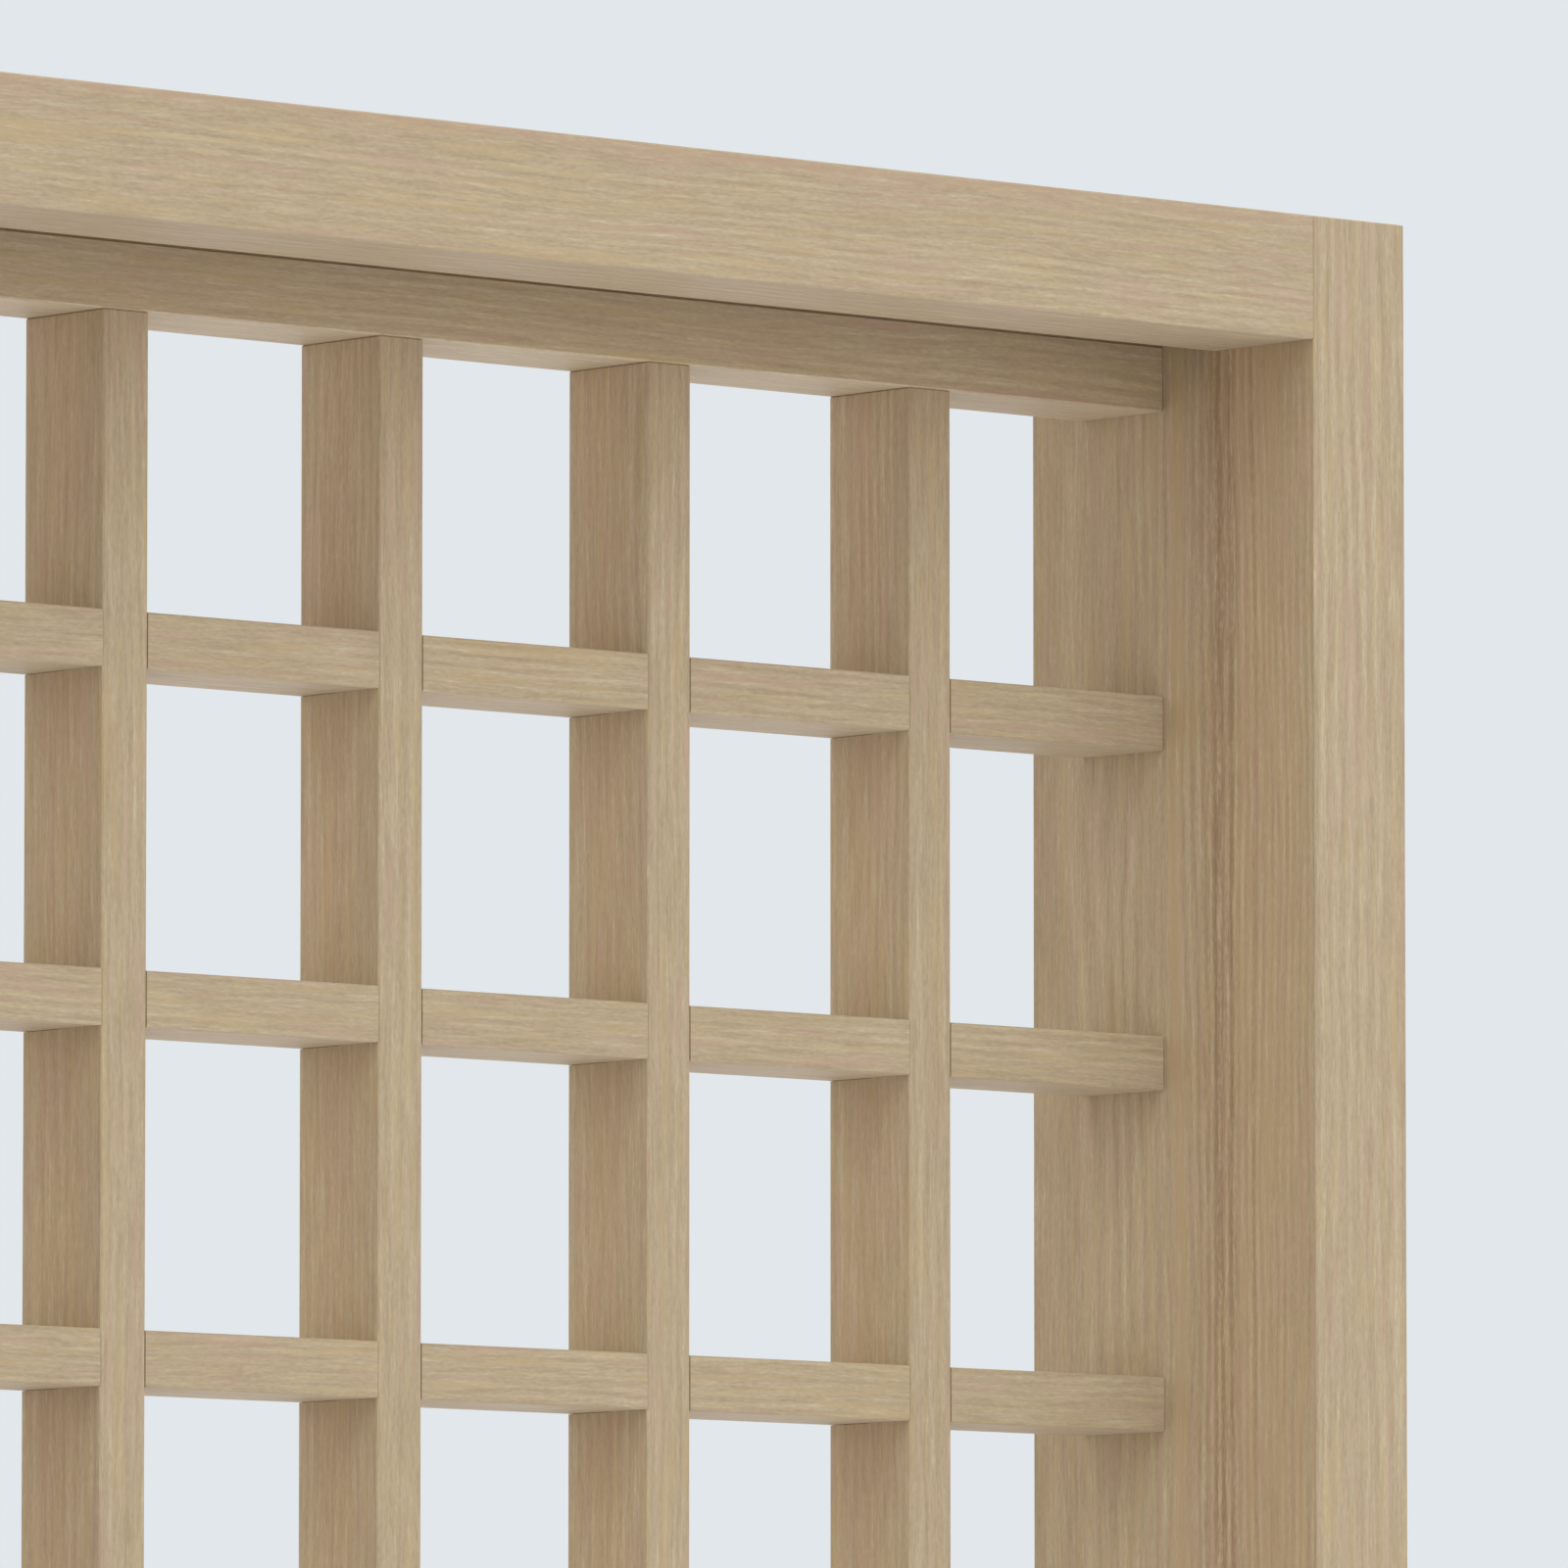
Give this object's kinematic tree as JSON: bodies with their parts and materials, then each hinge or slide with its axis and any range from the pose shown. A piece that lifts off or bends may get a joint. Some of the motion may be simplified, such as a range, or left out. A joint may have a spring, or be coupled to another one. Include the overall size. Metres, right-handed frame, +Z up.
{
  "type": "wooden grid partition",
  "caption": "Freestanding or built-in wooden room partition: an open square lattice of halved bars set back in a deep timber frame of posts, head and sill.",
  "frame": {"origin": "middle of the footprint, on the floor", "axes": "+X along the partition, -Y towards the deep front reveal, +Z up"},
  "size_m": [1.234, 0.23, 2.234],
  "materials": {
    "oak": "pale straight-grained oak, matt oil",
    "steel": "bright zinc"
  },
  "bodies": {
    "root": {"post_left": "oak", "post_right": "oak", "head_beam": "oak", "head_board": "oak", "sill_beam": "oak", "sill_board": "oak", "lattice_top_rail": "oak", "lattice_bottom_rail": "oak", "upright_1": "oak", "upright_2": "oak", "upright_3": "oak", "upright_4": "oak", "upright_5": "oak", "crossbar_01": "oak", "crossbar_02": "oak", "crossbar_03": "oak", "crossbar_04": "oak", "crossbar_05": "oak", "crossbar_06": "oak", "crossbar_07": "oak", "crossbar_08": "oak", "crossbar_09": "oak", "crossbar_10": "oak", "frame_screws": "steel"}
  },
  "joints": []
}
